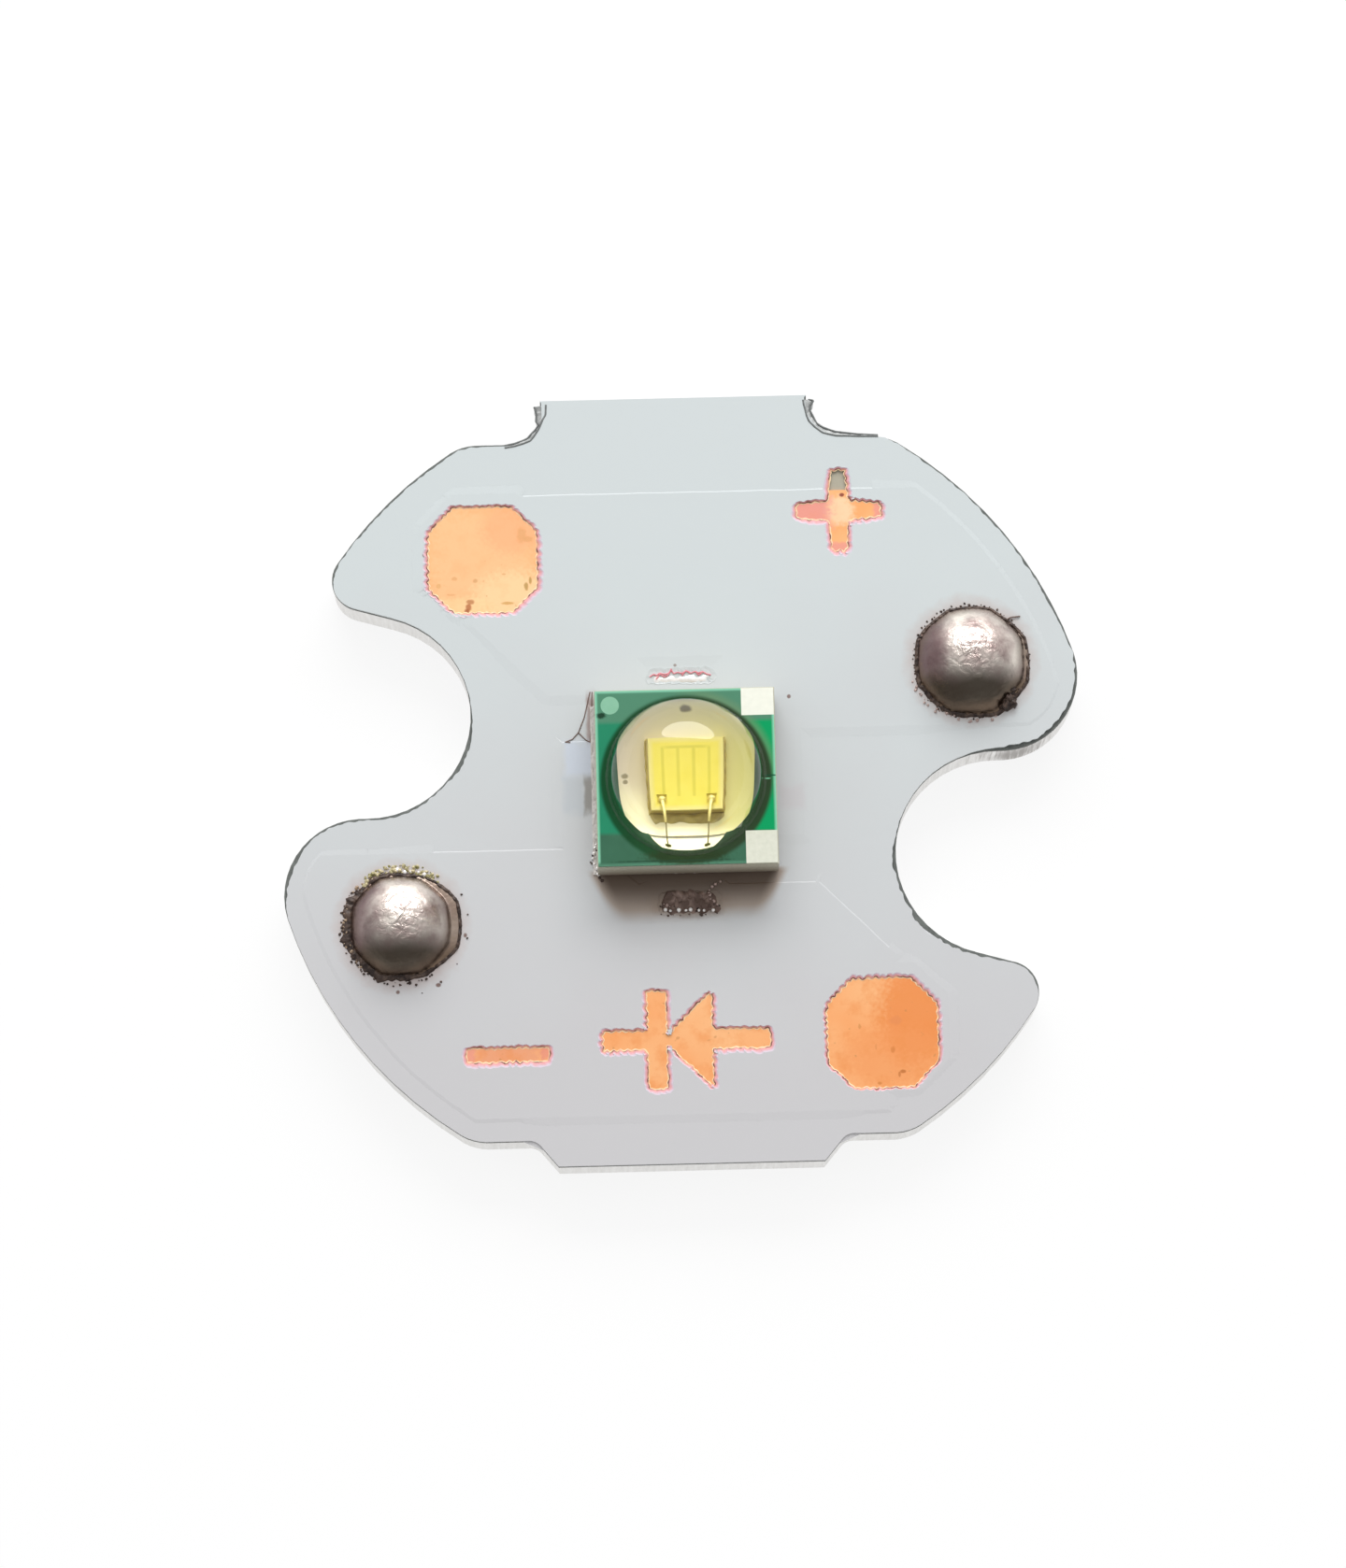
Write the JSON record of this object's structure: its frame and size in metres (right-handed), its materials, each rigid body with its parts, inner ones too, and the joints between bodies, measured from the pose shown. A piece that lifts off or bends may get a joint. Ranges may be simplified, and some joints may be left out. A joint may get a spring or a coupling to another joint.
{
  "type": "high power led",
  "caption": "Domed surface-mount power LED on a small round aluminium-core board with open screw notches, bare and soldered wire pads, and a flat back that sheds heat.",
  "frame": {"origin": "centre of the round board on its flat underside", "axes": "+Z out of the board's face towards the dome, +Y towards the wider break-off tab, +X to the right when +Y is up and the dome faces the viewer"},
  "size_m": [0.0154, 0.0151, 0.0034],
  "materials": {
    "aluminium": "satin",
    "insulation": "matte",
    "copper": "satin",
    "mask": "satin",
    "solder": "satin",
    "plated_pad": "satin",
    "ceramic": "matte",
    "silver_metal": "satin",
    "cream_pad": "satin",
    "green_coat": "satin",
    "pale_dot": "satin",
    "chip": "satin",
    "phosphor": "matte",
    "gold": "polished",
    "clear_silicone": "gloss"
  },
  "bodies": {
    "root": {"aluminium_base": "aluminium", "dielectric_layer": "insulation", "positive_copper": "copper", "negative_copper": "copper", "thermal_copper": "copper", "solder_mask": "mask", "positive_blob": "solder", "negative_blob": "solder", "led_positive_solder": "solder", "led_negative_solder": "solder", "led_thermal_solder": "solder", "led_positive_pad": "plated_pad", "led_negative_pad": "plated_pad", "led_thermal_pad": "plated_pad", "ceramic_substrate": "ceramic", "positive_vias": "copper", "negative_vias": "copper", "anode_mirror": "silver_metal", "cathode_strip": "silver_metal", "upper_corner_pad": "cream_pad", "lower_corner_pad": "cream_pad", "package_coat": "green_coat", "polarity_dot": "pale_dot", "led_die": "chip", "die_contacts": "gold", "phosphor_layer": "phosphor", "left_bond_wire": "gold", "right_bond_wire": "gold", "dome_lens": "clear_silicone"}
  },
  "joints": []
}
